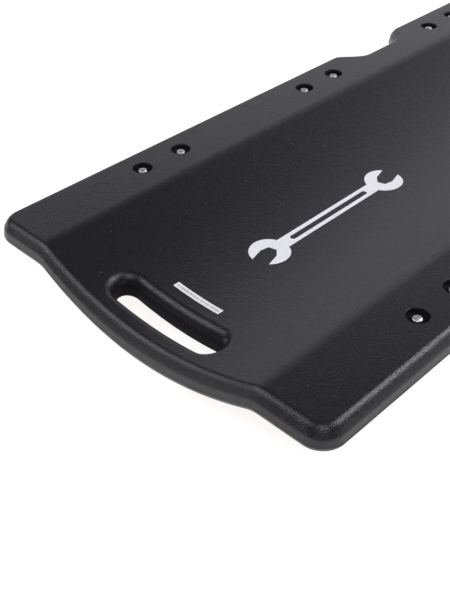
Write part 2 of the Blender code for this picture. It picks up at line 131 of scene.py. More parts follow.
class Sheet:
    """A node tree to lay nodes on."""

    def __init__(self, tree):
        self.tree = tree

    def plug(self, socket, value):
        if isinstance(value, Wire):
            self.tree.links.new(value.socket, socket)
        elif isinstance(value, tuple) and socket.type == "RGBA":
            socket.default_value = (*value, 1.0)
        else:
            socket.default_value = value

    def node(self, kind, settings=None, sockets=None, out=0):
        """Adds any node: its settings first, then the values or links of its sockets."""
        made = self.tree.nodes.new(kind)
        for name, value in (settings or {}).items():
            setattr(made, name, value)
        for name, value in (sockets or {}).items():
            self.plug(made.inputs[name], value)
        return Wire(self.tree, made.outputs[out])

    def mix(self, mask, first, second):
        """The first colour where the mask is 0, the second where it is 1."""
        return self.node("ShaderNodeMix", {"data_type": "RGBA"}, {0: mask, 6: first, 7: second}, out=2)

    def place(self, stretch=(1.0, 1.0, 1.0)):
        """Object coordinates, each multiplied by its own stretch."""
        where = self.node("ShaderNodeTexCoord", out="Object")
        return self.node("ShaderNodeVectorMath", {"operation": "MULTIPLY"}, {0: where, 1: stretch})

    def part(self, where, axis):
        return self.node("ShaderNodeSeparateXYZ", None, {0: where}, out=axis)

    def speckle(self, where, scale, detail=2.0, rough=0.5):
        """Smooth noise from 0 to 1, that many lumps to a metre."""
        sockets = {"Vector": where, "Scale": scale, "Detail": detail, "Roughness": rough}
        return self.node("ShaderNodeTexNoise", None, sockets)

    def bump(self, height, depth):
        return self.node("ShaderNodeBump", None, {"Height": height, "Distance": depth})


class Finish(Sheet):
    """A material with one Principled shader."""

    def __init__(self, name, **uniform):
        self.material = bpy.data.materials.new(name)
        self.material.use_nodes = True
        super().__init__(self.material.node_tree)
        self.shader = self.tree.nodes["Principled BSDF"]
        for socket, value in uniform.items():
            self.set(socket.replace("_", " "), value)

    def set(self, socket, value):
        self.plug(self.shader.inputs[socket], value)


def object_of(bm, name, *finishes, smooth=None):
    """A mesh object at the origin. Smooth is the angle past which an edge stays sharp."""
    mesh = bpy.data.meshes.new(name)
    bm.to_mesh(mesh)
    bm.free()
    for finish in finishes:
        mesh.materials.append(finish)
    if smooth is not None:
        mesh.shade_smooth()
        mesh.set_sharp_from_angle(angle=math.radians(smooth))
    obj = bpy.data.objects.new(name, mesh)
    bpy.context.scene.collection.objects.link(obj)
    return obj


def floor_finish():
    """Opal acrylic lit from below, dimmer far out from the middle."""
    finish = Finish("light_table", Roughness=0.85, Emission_Strength=TABLE_GLOW)
    where = finish.place()
    mottle = finish.speckle(where, 3.0)
    finish.set("Base Color", finish.mix(mottle, (0.33, 0.33, 0.33), (0.35, 0.35, 0.35)))
    reach = finish.node("ShaderNodeVectorMath", {"operation": "LENGTH"}, {0: where}, out="Value")
    faded = reach.between(*TABLE_FADE)
    finish.set("Emission Color", finish.mix(faded, (1.0, 0.97, 0.95), (0.36, 0.36, 0.365)))
    return finish.material


bm = bmesh.new()
bmesh.ops.create_grid(bm, x_segments=1, y_segments=1, size=FLOOR_HALF)
object_of(bm, "light_table", floor_finish())

for name, place, across, up, watts in SOFT_LIGHTS:
    lamp = bpy.data.lights.new(name, "AREA")
    lamp.shape = "RECTANGLE"
    lamp.size = across
    lamp.size_y = up
    lamp.energy = watts
    lamp.color = SOFT_TINT
    light = bpy.data.objects.new(name, lamp)
    facing = (Vector(place) - SOFT_AIM).to_track_quat("Z", "Y").to_matrix().to_4x4()
    light.matrix_world = Matrix.Translation(place) @ facing
    bpy.context.scene.collection.objects.link(light)

world = bpy.data.worlds.new("studio")
world.use_nodes = True
bpy.context.scene.world = world
world.node_tree.nodes["Background"].inputs["Color"].default_value = (*SOFT_TINT, 1.0)
world.node_tree.nodes["Background"].inputs["Strength"].default_value = SURROUNDINGS

# ---------------------------------------------------------------------------------------------
# Deck: one hollow blow moulding in black polyethylene. Two flat flanges carry the casters and
# the middle is dished. The mould halves meet in a parting line round the edge and inside the
# handle slot, where the flash was trimmed off by hand.
# ---------------------------------------------------------------------------------------------
HALF = deck_high.x
END = 0.502
BULGE = deck_high.y - END
FLANGE_THICK = 0.027
DISH_HALF = 0.154
DISH_DEPTH = 0.029
CREASE = 0.008
UNDER_SWELL = 1.085
PARTING_DROP = 0.020
FLASH = 0.0005
EDGE_LEANS = (
    # lean from upright in degrees and rise, from the wall up to the flat top
    (8, 0.0012), (18, 0.0010), (27, 0.0011), (31, 0.0019), (33, 0.0022), (36, 0.0015), (41, 0.0012),
    (47, 0.0009), (53, 0.0008), (60, 0.0006), (67, 0.00042), (74, 0.00026), (81, 0.00010), (87, 0.00003),
)
EDGE_DRAFT = 0.0010
UNDER_ROUND = 0.0085
FOOT_CORNER = 0.027
HEAD_CORNER = 0.045
WAIST_DEPTH = 0.028
WAIST_START = 0.085
WAIST_RUN = 0.045
WAIST_END = 0.235
PLATFORM_DROP = 0.010
PLATFORM_HALF = 0.142
RAMP_START = 0.285
RAMP_END = 0.365


def ease(t):
    t = min(max(t, 0.0), 1.0)
    return t * t * (3 - 2 * t)


def dish(x, y):
    """Height of the deck's top over the flanges, which is negative in the dish."""
    x = abs(x)
    if x > DISH_HALF + CREASE:
        return 0.0
    slope = 2 * DISH_DEPTH * (DISH_HALF - CREASE) / DISH_HALF**2
    if x > DISH_HALF - CREASE:
        hollow = -slope * (DISH_HALF + CREASE - x) ** 2 / (4 * CREASE)
    else:
        hollow = -DISH_DEPTH * (1 - (x / DISH_HALF) ** 2 - (CREASE / DISH_HALF) ** 2)
    platform = -PLATFORM_DROP * ease((DISH_HALF - x) / (DISH_HALF - PLATFORM_HALF))
    ramp = ease((y - RAMP_START) / (RAMP_END - RAMP_START))
    return hollow * (1 - ramp) + platform * ramp


def drape(bm):
    """Lowers a flat mesh onto the dish; the underside swells a little more than the top."""
    for vert in bm.verts:
        depth = (FLANGE_TOP - vert.co.z) / FLANGE_THICK
        vert.co.z += dish(vert.co.x, vert.co.y) * (1 + (UNDER_SWELL - 1) * depth)


def score(bm, strips=26):
    """Cuts the mesh along the lines between which the dish is as good as flat."""
    flat_part = DISH_HALF - CREASE
    xs = [flat_part * i / strips for i in range(strips)]
    xs += [DISH_HALF + CREASE * i / 4 for i in range(-4, 5)]
    ys = [RAMP_START + (RAMP_END - RAMP_START) * i / 12 for i in range(13)]
    planes = [((x, 0, 0), (1, 0, 0)) for x in sorted({s * x for x in xs for s in (-1, 1)})]
    planes += [((0, y, 0), (0, 1, 0)) for y in ys]
    low = [min(v.co[i] for v in bm.verts) for i in range(2)]
    high = [max(v.co[i] for v in bm.verts) for i in range(2)]
    for point, normal in planes:
        axis = 0 if normal[0] else 1
        if low[axis] < point[axis] < high[axis]:
            geom = bm.verts[:] + bm.edges[:] + bm.faces[:]
            bmesh.ops.bisect_plane(bm, geom=geom, dist=1e-6, plane_co=point, plane_no=normal)


def arc(center, radius, start, end, steps):
    """Points on an arc, in degrees, both ends included."""
    turns = [math.radians(start + (end - start) * i / steps) for i in range(steps + 1)]
    return [(center[0] + radius * math.cos(t), center[1] + radius * math.sin(t)) for t in turns]


def stepped(points, step):
    """The same line with points no further apart than step."""
    made = []
    for a, b in zip(points, points[1:]):
        count = max(1, math.ceil(math.dist(a, b) / step))
        made += [(a[0] + (b[0] - a[0]) * i / count, a[1] + (b[1] - a[1]) * i / count) for i in range(count)]
    return made + [points[-1]]


def deck_outline():
    """The deck's widest outline: its right half from foot to head, then the mirror image."""
    rim = [DISH_HALF * i / 28 for i in range(29)]
    points = [(x, -END - BULGE * (1 - (x / DISH_HALF) ** 2)) for x in rim]
    points += arc((HALF - FOOT_CORNER, FOOT_CORNER - END), FOOT_CORNER, -90, 0, 16)
    for i in range(13):
        points.append((HALF - WAIST_DEPTH * ease(i / 12), WAIST_START + WAIST_RUN * i / 12))
    for i in range(13):
        points.append((HALF - WAIST_DEPTH * ease(1 - i / 12), WAIST_END - WAIST_RUN * (1 - i / 12)))
    points += arc((HALF - HEAD_CORNER, END - HEAD_CORNER), HEAD_CORNER, 0, 90, 18)
    points += [(x, END + BULGE * (1 - (x / DISH_HALF) ** 2)) for x in reversed(rim)]
    right = stepped(points, 0.006)
    return right + [(-x, y) for x, y in reversed(right[1:-1])]


def grow(bm, face, moves):
    """Insets a flat face inwards and along its normal, once for each (inwards, along)."""
    for inwards, along in moves:
        bmesh.ops.inset_region(
            bm, faces=[face], use_boundary=True, use_even_offset=True, thickness=inwards, depth=along
        )


def edge_moves(inwards, along, steps):
    """Moves that turn an upright wall over into a flat surface, on a quarter of an ellipse."""
    turns = [math.pi / 2 * i / steps for i in range(steps + 1)]
    return [
        (inwards * (math.cos(a) - math.cos(b)), along * (math.sin(b) - math.sin(a)))
        for a, b in zip(turns, turns[1:])
    ]


def deck_blank():
    """The moulding without its holes, wells and trays."""
    bm = bmesh.new()
    level = FLANGE_TOP - PARTING_DROP
    face = bm.faces.new([bm.verts.new((x, y, level)) for x, y in deck_outline()])
    crest = bm.verts.layers.float.new("parting")
    # Marks the walls that take the dull shader which paints shade in the slot and the wells.
    bm.verts.layers.float.new("shade_dulled")
    for vert in face.verts:
        vert[crest] = 1.0
    made = bmesh.ops.extrude_face_region(bm, geom=[face], use_keep_orig=True)["geom"]
    top = next(item for item in made if isinstance(item, bmesh.types.BMFace))
    bmesh.ops.translate(bm, vec=(0, 0, 0.0002), verts=top.verts)
    bmesh.ops.recalc_face_normals(bm, faces=bm.faces)
    wall = (PARTING_DROP - sum(rise for lean, rise in EDGE_LEANS) - 0.0006) / 2
    grow(bm, top, [(FLASH, 0.0004), (EDGE_DRAFT / 2, wall), (EDGE_DRAFT / 2, wall)])
    grow(bm, top, [(rise * math.tan(math.radians(lean)), rise) for lean, rise in EDGE_LEANS])
    under = FLANGE_THICK - PARTING_DROP - 0.0004
    grow(bm, face, [(FLASH, 0.0004), (0.0004, under * 0.15)])
    grow(bm, face, edge_moves(UNDER_ROUND, under * 0.85, 7))
    for vert in bm.verts:
        if abs(vert.co.z - level - 0.0001) > 0.0002:
            vert[crest] = 0.0
    return bm


def hole_outline(core, radius, steps):
    """The outline at that distance round a core box (low x, low y, high x, high y)."""
    x0, y0, x1, y1 = core
    points = []
    for x, y, start in ((x1, y0, -90), (x1, y1, 0), (x0, y1, 90), (x0, y0, 180)):
        points += arc((x, y), radius, start, start + 90, steps)
    return [p for i, p in enumerate(points) if math.dist(p, points[i - 1]) > 1e-6]


def prism(outline, z_low, z_high):
    bm = bmesh.new()
    face = bm.faces.new([bm.verts.new((x, y, z_low)) for x, y in outline])
    made = bmesh.ops.extrude_face_region(bm, geom=[face], use_keep_orig=True)["geom"]
    moved = [item for item in made if isinstance(item, bmesh.types.BMVert)]
    bmesh.ops.translate(bm, vec=(0, 0, z_high - z_low), verts=moved)
    bmesh.ops.recalc_face_normals(bm, faces=bm.faces)
    return bm


def cut(body, tools, operation="DIFFERENCE"):
    """Cuts closed tools out of an object's mesh, or joins them to it."""
    merged = bmesh.new()
    for tool in tools:
        mesh = bpy.data.meshes.new("tool")
        tool.to_mesh(mesh)
        tool.free()
        merged.from_mesh(mesh)
        bpy.data.meshes.remove(mesh)
    helper = object_of(merged, "tool")
    modifier = body.modifiers.new("cut", "BOOLEAN")
    modifier.object = helper
    modifier.operation = operation
    modifier.solver = "EXACT"
    graph = bpy.context.evaluated_depsgraph_get()
    made = bpy.data.meshes.new_from_object(body.evaluated_get(graph), depsgraph=graph)
    body.modifiers.clear()
    body.data = made
    bpy.data.objects.remove(helper, do_unlink=True)


def to_core(point, core):
    """The level step from a point to the nearest point of a hole's core box."""
    x = min(max(point.x, core[0]), core[2])
    y = min(max(point.y, core[1]), core[3])
    return Vector((x - point.x, y - point.y, 0))


def open_hole(bm, core, radius, end=None):
    """Takes away a cut hole's upright wall, and its end at that height, and returns its rims."""

    def on_wall(vert):
        return abs(to_core(vert.co, core).length - radius) < 2e-4

    near = [f for f in bm.faces if to_core(f.calc_center_median(), core).length < radius + 5e-4]
    doomed = [f for f in near if abs(f.normal.z) < 0.5 and all(on_wall(v) for v in f.verts)]
    if end is not None:
        doomed += [f for f in near if all(abs(v.co.z - end) < 1e-5 for v in f.verts)]
    bmesh.ops.delete(bm, geom=list(set(doomed)), context="FACES")
    return [e for e in bm.edges if e.is_boundary and all(on_wall(v) for v in e.verts)]


def sink(bm, rim, core, moves):
    """Extrudes a rim step by step, inwards to the hole's core and down, and returns the last rim."""
    for inwards, down in moves:
        made = bmesh.ops.extrude_edge_only(bm, edges=rim)["geom"]
        rim = [item for item in made if isinstance(item, bmesh.types.BMEdge)]
        for vert in {v for e in rim for v in e.verts}:
            vert.co += to_core(vert.co, core).normalized() * inwards
            vert.co.z -= down
    return rim


def lip(inwards, down, steps):
    """Moves that turn a flat surface down into a wall."""
    return [(i, d) for d, i in edge_moves(down, inwards, steps)]


def upwards(moves):
    return [(inwards, -down) for inwards, down in moves]


def middle(node):
    low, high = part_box(node)
    return (low + high) / 2


def at(spot):
    """The core box of a round hole."""
    return (spot[0], spot[1], spot[0], spot[1])


def deck_finish():
    """Black polyethylene with a fine moulded grain, paler at the trimmed parting line, with painted
    shade on the walls deep in the slot and the wells, where a dull, low-gloss shader darkens them."""
    finish = Finish("deck_plastic")
    where = finish.place()
    broad = finish.speckle(where, 9.0)
    patch = finish.speckle(where, 130.0)
    grain = finish.speckle(where, 820.0, detail=1.0)
    dust = finish.speckle(where, 300.0, detail=0.0).between(0.80, 0.84)
    streak = finish.speckle(finish.place((1.0, 0.12, 1.0)), 240.0, detail=3.0)
    parting = finish.node("ShaderNodeAttribute", {"attribute_name": "parting"}, out="Fac")
    torn = finish.speckle(where, 170.0, detail=4.0, rough=0.7).between(0.50, 0.66)
    flash = parting.between(0.35, 0.95) * torn
    tone = finish.mix(broad * 0.5 + grain * 0.5, (0.0064, 0.0060, 0.0082), (0.0104, 0.0097, 0.0129))
    tone = finish.mix(dust * 0.30, tone, (0.14, 0.13, 0.12))
    tone = finish.mix(flash * 0.6, tone, (0.16, 0.145, 0.13))
    finish.set("Base Color", tone)
    relief = finish.bump(grain * 0.75 + patch * 0.35 + streak * 0.15, 0.00047)
    finish.set("Roughness", 0.27 + patch * 0.05 + grain * 0.07 + streak * 0.04 + flash * 0.2)
    finish.set("Normal", relief)
    # Painted shade: a dull, low-gloss copy of the shader darkens the slot's and the wells' walls.
    sockets = {"Base Color": tone, "Roughness": 0.8, "Specular IOR Level": 0.10, "Normal": relief}
    dull = finish.node("ShaderNodeBsdfPrincipled", None, sockets)
    shade_dulled = finish.node("ShaderNodeAttribute", {"attribute_name": "shade_dulled"}, out="Fac")
    glossy = Wire(finish.tree, finish.shader.outputs[0])
    both = finish.node("ShaderNodeMixShader", None, {0: shade_dulled, 1: glossy, 2: dull})
    finish.plug(finish.tree.nodes["Material Output"].inputs["Surface"], both)
    return finish.material


SLOT_Y = -0.4602
SLOT_REACH = 0.0607
SLOT_HALF = 0.0156
SLOT_LIP = (0.0105, 0.0120)
SLOT_PARTING = 0.0128
WELL_RADIUS = 0.012
WELL_LIP = 0.0008
WELL_FLOOR = 0.074
MARK_Y = -0.379
MARK_RADIUS = 0.01175
MARK_DEPTH = 0.002
TRAY_CENTER = (0.194, 0.417)
TRAY_CORE = (0.016, 0.040)
TRAY_CORNER = 0.012
TRAY_LIP = 0.0020
TRAY_DEPTH = 0.015
POCKET_CORE = (0.016, 0.034)
POCKET_CORNER = 0.012
POCKET_ROOF = 0.067
UNDER_LIP = 0.0016
GROOVE_XS = (-0.078, 0.0, 0.078)
GROOVE_ENDS = (-0.377, 0.237)
GROOVE_HALF = 0.008
GROOVE_DEPTH = 0.013
VENTS = ((-0.038, -0.250), (0.038, 0.130))
VENT_RADIUS = 0.004
HEAD_WELL_RADIUS = 0.008
HEAD_WELL_TOP = 0.064

CASTERS = sorted(name[: -len("_wheel")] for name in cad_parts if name.endswith("_wheel"))
DECK_SCREWS = sorted(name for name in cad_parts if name.startswith("deck_screw"))
HEAD_SCREWS = sorted(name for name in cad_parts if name.startswith("headrest_screw"))

deck_plastic = deck_finish()
blank = deck_blank()
score(blank)
drape(blank)
bmesh.ops.recalc_face_normals(blank, faces=blank.faces)
deck = object_of(blank, "deck", deck_plastic)

slot_core = (-SLOT_REACH, SLOT_Y, SLOT_REACH, SLOT_Y)
slot_mouth = SLOT_HALF + SLOT_LIP[0]
mark_ridge = [(0.00012, -0.00014), (0.00035, 0.0), (0.00015, 0.00020)]
# Each hole: core, radius at the mouth, cut from, cut to, end, moves of the mouth's rim.
holes = []
for name in DECK_SCREWS:
    moves = lip(WELL_LIP, WELL_LIP, 3) + [(0.0002, FLANGE_TOP - WELL_FLOOR - WELL_LIP - 0.001)]
    moves += [(0.0003, 0.0007), (0.0007, 0.0003)]
    holes.append((at(middle(name)), WELL_RADIUS + WELL_LIP, WELL_FLOOR, 0.12, WELL_FLOOR, moves))
for sign in (-1, 1):
    spot = (sign * middle(DECK_SCREWS[0]).x, MARK_Y)
    low = FLANGE_TOP - MARK_DEPTH
    holes.append((at(spot), MARK_RADIUS, low, 0.12, low, mark_ridge))
    x, y = sign * TRAY_CENTER[0], TRAY_CENTER[1]
    core = (x - TRAY_CORE[0], y - TRAY_CORE[1], x + TRAY_CORE[0], y + TRAY_CORE[1])
    low = FLANGE_TOP - TRAY_DEPTH
    moves = lip(TRAY_LIP, TRAY_LIP, 4) + [(0.0008, TRAY_DEPTH - TRAY_LIP - 0.003)]
    moves += edge_moves(0.003, 0.003, 4)
    holes.append((core, TRAY_CORNER + TRAY_LIP, low, 0.12, low, moves))
for name in CASTERS:
    x, y = middle(f"{name}_plate").xy
    core = (x - POCKET_CORE[0], y - POCKET_CORE[1], x + POCKET_CORE[0], y + POCKET_CORE[1])
    height = POCKET_ROOF - (FLANGE_TOP - FLANGE_THICK)
    moves = lip(UNDER_LIP, UNDER_LIP, 3) + [(0.0004, height - UNDER_LIP - 0.0015)]
    moves = upwards(moves + edge_moves(0.0015, 0.0015, 2))
    holes.append((core, POCKET_CORNER + UNDER_LIP, 0.0, POCKET_ROOF, POCKET_ROOF, moves))
for x in GROOVE_XS:
    core = (x, GROOVE_ENDS[0], x, GROOVE_ENDS[1])
    moves = lip(UNDER_LIP, UNDER_LIP, 3) + [(0.0010, GROOVE_DEPTH - UNDER_LIP - 0.003)]
    moves = upwards(moves + edge_moves(0.003, 0.003, 3))
    top = FLANGE_TOP - FLANGE_THICK + dish(x, 0) * UNDER_SWELL + GROOVE_DEPTH * 0.9
    holes.append((core, GROOVE_HALF + UNDER_LIP, -0.05, top, top, moves))
for spot in VENTS:
    moves = upwards(lip(0.0006, 0.0006, 2) + [(0.0001, 0.006)])
    top = FLANGE_TOP - FLANGE_THICK + dish(spot[0], 0) * UNDER_SWELL + 0.006
    holes.append((at(spot), VENT_RADIUS + 0.0006, -0.05, top, top, moves))
for name in HEAD_SCREWS:
    height = HEAD_WELL_TOP - (FLANGE_TOP - FLANGE_THICK - PLATFORM_DROP * UNDER_SWELL)
    moves = upwards(lip(UNDER_LIP, UNDER_LIP, 3) + [(0.0003, height - UNDER_LIP)])
    holes.append((at(middle(name)), HEAD_WELL_RADIUS + UNDER_LIP, -0.05, HEAD_WELL_TOP, HEAD_WELL_TOP, moves))

tools = [prism(hole_outline(slot_core, slot_mouth, 14), -0.05, 0.15)]
for core, radius, low, high, end, moves in holes:
    tools.append(prism(hole_outline(core, radius, 12), low, high))
cut(deck, tools)

bm = bmesh.new()
bm.from_mesh(deck.data)
bmesh.ops.remove_doubles(bm, verts=bm.verts, dist=1e-6)
rims = open_hole(bm, slot_core, slot_mouth)
top_rim = {e for e in rims if e.verts[0].co.z > FLANGE_TOP + dish(e.verts[0].co.x, SLOT_Y) - 0.012}
low_rim = [e for e in rims if e not in top_rim]
top_rim = sink(bm, list(top_rim), slot_core, lip(*SLOT_LIP, 10) + [(0.0, SLOT_PARTING - SLOT_LIP[1])])
low_moves = lip(SLOT_LIP[0] + 0.0010, 0.0022, 6) + [(0.0, 0.0106), (-0.0003, 0.0005)]
low_rim = sink(bm, low_rim, slot_core, upwards(low_moves))
bmesh.ops.bridge_loops(bm, edges=top_rim + low_rim)
for core, radius, low, high, end, moves in holes:
    rim = sink(bm, open_hole(bm, core, radius, end), core, moves)
    bmesh.ops.holes_fill(bm, edges=rim)

crest = bm.verts.layers.float.get("parting")
shade_dulled = bm.verts.layers.float.get("shade_dulled")
wells = [at(middle(name)) for name in DECK_SCREWS]
for vert in bm.verts:
    depth = FLANGE_TOP + dish(vert.co.x, vert.co.y) - vert.co.z
    # Painted shade: the deeper a wall lies in the slot or a well, the more of the dull shader it takes.
    if to_core(vert.co, slot_core).length < slot_mouth + 0.0005:
        vert[shade_dulled] = ease((depth - 0.0050) / 0.0060)
    if depth < 0.012 and any(to_core(vert.co, well).length < WELL_RADIUS + 0.0001 for well in wells):
        vert[shade_dulled] = ease((depth - 0.0005) / 0.0015)
    if vert[crest] > 0.5:
        trimmed = min(max(0.7 + 0.7 * noise.noise(vert.co * 90.0), 0.0), 1.0)
        vert.co -= Vector((vert.co.x, vert.co.y, 0)).normalized() * FLASH * 0.9 * trimmed
bmesh.ops.recalc_face_normals(bm, faces=bm.faces)
bm.to_mesh(deck.data)
bm.free()
deck.data.shade_smooth()
deck.data.set_sharp_from_angle(angle=math.radians(38))
evened = deck.modifiers.new("evened", "WEIGHTED_NORMAL")
evened.weight = 100
evened.keep_sharp = True
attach(deck, "deck")
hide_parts("deck_shell")

# ---------------------------------------------------------------------------------------------
# Label: a strip of white film stuck a little askew to the bottom of the dish above the handle
# slot, with a row of small grey marks.
# ---------------------------------------------------------------------------------------------
LABEL_SPOT = (0.0024, -0.4194)
LABEL_CORE = (-0.0333, -0.0035, 0.0333, 0.0035)
LABEL_CORNER = 0.0005
LABEL_LIFT = 0.00005
LABEL_THICK = 0.0002
LABEL_TILT = -1.4


def label_finish():
    """White film with a row of small grey marks."""
    finish = Finish("label_film", Roughness=0.42)
    where = finish.place()
    across = finish.part(where, 0)
    along = finish.part(where, 1) + across * math.tan(math.radians(-LABEL_TILT)) - LABEL_SPOT[1]
    marks = finish.speckle(finish.place((1.0, 0.02, 0.0)), 1100.0, detail=1.0).between(0.43, 0.47)
    gaps = finish.speckle(finish.place((1.0, 0.02, 0.0)), 160.0, detail=0.0).between(0.28, 0.32)
    row = abs(along - 0.0001).between(0.0014, 0.0011)
    ends = abs(across - LABEL_SPOT[0]).between(0.0310, 0.0305)
    soft = finish.speckle(where, 90.0)
    paper = finish.mix(soft, (0.80, 0.80, 0.79), (0.88, 0.88, 0.87))
    finish.set("Base Color", finish.mix(marks * gaps * row * ends * 0.62, paper, (0.16, 0.16, 0.17)))
    return finish.material


bm = prism(hole_outline(LABEL_CORE, LABEL_CORNER, 3), LABEL_LIFT, LABEL_THICK)
bmesh.ops.rotate(bm, verts=bm.verts, matrix=Matrix.Rotation(math.radians(LABEL_TILT), 3, "Z"))
bmesh.ops.translate(bm, verts=bm.verts, vec=(*LABEL_SPOT, FLANGE_TOP))
score(bm)
drape(bm)
label = object_of(bm, "label", label_finish(), smooth=30)
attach(label, "deck")
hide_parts("label_sticker")

# ---------------------------------------------------------------------------------------------
# Print: a white double-ended spanner, screen printed lengthwise on the dish and slightly worn.
# ---------------------------------------------------------------------------------------------
PRINT_Y = -0.2045
PRINT_REACH = 0.103
JAW_RADIUS = 0.0235
JAW_HALF = 0.0100
JAW_TILT = 15.0
JAW_FLATS = ((0.12, -1.0), (-0.30, -0.5), (-0.30, 0.5), (0.12, 1.0))
HANDLE_HALF = 0.0090
RECESS_HALF = (0.064, 0.0036)
INK_LIFT = (0.00006, 0.00016)


def jaw(center, heading):
    """One open jaw of the spanner's outline, from one side of the handle to the other."""
    opening = heading + JAW_TILT
    tip = math.degrees(math.asin(JAW_HALF / JAW_RADIUS))
    root = math.degrees(math.asin(HANDLE_HALF / JAW_RADIUS))
    along = Vector(arc((0, 0), 1.0, opening, opening, 1)[0])
    across = along.orthogonal()
    flats = [Vector(center) + along * JAW_RADIUS * a + across * JAW_HALF * b for a, b in JAW_FLATS]
    points = arc(center, JAW_RADIUS, heading - 180 + root, opening - tip, 22)
    points += [tuple(point) for point in flats]
    return points + arc(center, JAW_RADIUS, opening + tip, heading + 180 - root, 22)


def ink_finish():
    """White screen ink with a few pinholes."""
    finish = Finish("white_ink", Roughness=0.46)
    where = finish.place()
    cloud = finish.speckle(where, 60.0)
    pinholes = finish.speckle(where, 520.0, detail=1.0).between(0.735, 0.775)
    ink = finish.mix(cloud, (0.80, 0.82, 0.84), (0.90, 0.91, 0.92))
    finish.set("Base Color", finish.mix(pinholes * 0.75, ink, (0.05, 0.05, 0.055)))
    finish.set("Normal", finish.bump(finish.speckle(where, 850.0), 0.00012))
    return finish.material


outline = jaw((0, PRINT_Y + PRINT_REACH), 90) + jaw((0, PRINT_Y - PRINT_REACH), 270)
spanner = object_of(prism(outline, FLANGE_TOP + INK_LIFT[0], FLANGE_TOP + INK_LIFT[1]), "print", ink_finish())
recess = (0, PRINT_Y - RECESS_HALF[0], 0, PRINT_Y + RECESS_HALF[0])
cut(spanner, [prism(hole_outline(recess, RECESS_HALF[1], 8), FLANGE_TOP - 0.01, FLANGE_TOP + 0.01)])
bm = bmesh.new()
bm.from_mesh(spanner.data)
bmesh.ops.triangulate(bm, faces=bm.faces)
score(bm)
drape(bm)
bm.to_mesh(spanner.data)
bm.free()
spanner.data.shade_smooth()
spanner.data.set_sharp_from_angle(angle=math.radians(30))
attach(spanner, "deck")

# ---------------------------------------------------------------------------------------------
# Deck screws: zinc-plated pan heads with a cross recess at the bottom of their wells, each held
# under the caster plate by a lock nut with a nylon collar.
# ---------------------------------------------------------------------------------------------
HEAD_RADIUS = 0.00525
HEAD_HEIGHT = 0.0036
SHANK_RADIUS = 0.0025
SHANK_LENGTH = 0.0120
CROSS_REACH = 0.0033
CROSS_WIDTH = 0.0015
NUT_RADIUS = 0.0045
NUT_BORE = 0.0026
NUT_HEIGHT = 0.0040


def turned(profile, steps):
    """A shape turned about Z from (radius, height) points, closed on the axis or by its last point."""
    bm = bmesh.new()
    verts = [bm.verts.new((radius, 0, height)) for radius, height in profile]
    edges = [bm.edges.new(pair) for pair in zip(verts, verts[1:])]
    bmesh.ops.spin(
        bm, geom=verts + edges, cent=(0, 0, 0), axis=(0, 0, 1), angle=math.tau, steps=steps, use_merge=True
    )
    bmesh.ops.remove_doubles(bm, verts=bm.verts, dist=1e-6)
    bmesh.ops.recalc_face_normals(bm, faces=bm.faces)
    return bm


def placed(template, name, matrix, body, node=None):
    """A copy of a template's mesh, set in place, riding a body and standing for a CAD node."""
    mesh = template.data.copy()
    mesh.name = name
    mesh.transform(matrix)
    piece = bpy.data.objects.new(name, mesh)
    bpy.context.scene.collection.objects.link(piece)
    for source in template.modifiers:
        modifier = piece.modifiers.new(source.name, source.type)
        modifier.width = source.width
        modifier.segments = source.segments
        modifier.limit_method = source.limit_method
        modifier.angle_limit = source.angle_limit
        modifier.harden_normals = source.harden_normals
    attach(piece, body)
    if node is not None:
        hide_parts(node)
    return piece


def zinc_finish(name, tint=(0.76, 0.77, 0.79)):
    """Zinc plating: bright, faintly clouded, and rubbed duller in patches."""
    finish = Finish(name, Metallic=1.0)
    where = finish.place()
    cloud = finish.speckle(where, 260.0)
    rubbed = finish.speckle(where, 1400.0)
    finish.set("Base Color", finish.mix(cloud, tint, tuple(c * 0.80 for c in tint)))
    finish.set("Roughness", 0.34 + cloud * 0.14 + rubbed * 0.10)
    finish.set("Normal", finish.bump(rubbed, 0.00004))
    return finish.material


zinc = zinc_finish("zinc_plate")
turns = [math.radians(angle) for angle in range(0, 91, 10)]
profile = [(HEAD_RADIUS * math.sin(t), HEAD_HEIGHT * (0.45 + 0.55 * math.cos(t))) for t in turns]
profile += [(HEAD_RADIUS, 0.0003), (HEAD_RADIUS - 0.0003, 0)]
profile += [(SHANK_RADIUS, 0), (SHANK_RADIUS, -SHANK_LENGTH), (0, -SHANK_LENGTH - 0.0006)]
screw = object_of(turned(profile, 32), "screw_template", zinc)
for angle in (0, 90):
    arm = bmesh.new()
    bmesh.ops.create_cube(arm, size=1.0)
    bmesh.ops.scale(arm, verts=arm.verts, vec=(2 * CROSS_REACH, CROSS_WIDTH, 0.0036))
    low = [v for v in arm.verts if v.co.z < 0]
    bmesh.ops.scale(arm, verts=low, vec=(0.45, 0.7, 1.0))
    bmesh.ops.rotate(arm, verts=arm.verts, matrix=Matrix.Rotation(math.radians(angle), 3, "Z"))
    bmesh.ops.translate(arm, verts=arm.verts, vec=(0, 0, HEAD_HEIGHT))
    cut(screw, [arm])
screw.data.shade_smooth()
screw.data.set_sharp_from_angle(angle=math.radians(32))

profile = [(NUT_BORE, 0), (NUT_RADIUS * 0.94, 0), (NUT_RADIUS, 0.0004), (NUT_RADIUS, NUT_HEIGHT - 0.0005)]
profile += [(NUT_RADIUS * 0.9, NUT_HEIGHT), (NUT_BORE, NUT_HEIGHT), (NUT_BORE, 0)]
nut = object_of(turned(profile, 6), "nut_template", zinc)
collar = [(NUT_BORE, -0.0012), (0.0034, -0.0012), (0.0038, -0.0006), (0.0038, 0.0004)]
collar += [(NUT_BORE, 0.0004), (NUT_BORE, -0.0012)]
cut(nut, [turned(collar, 24)], "UNION")
nut.data.shade_smooth()
nut.data.set_sharp_from_angle(angle=math.radians(25))

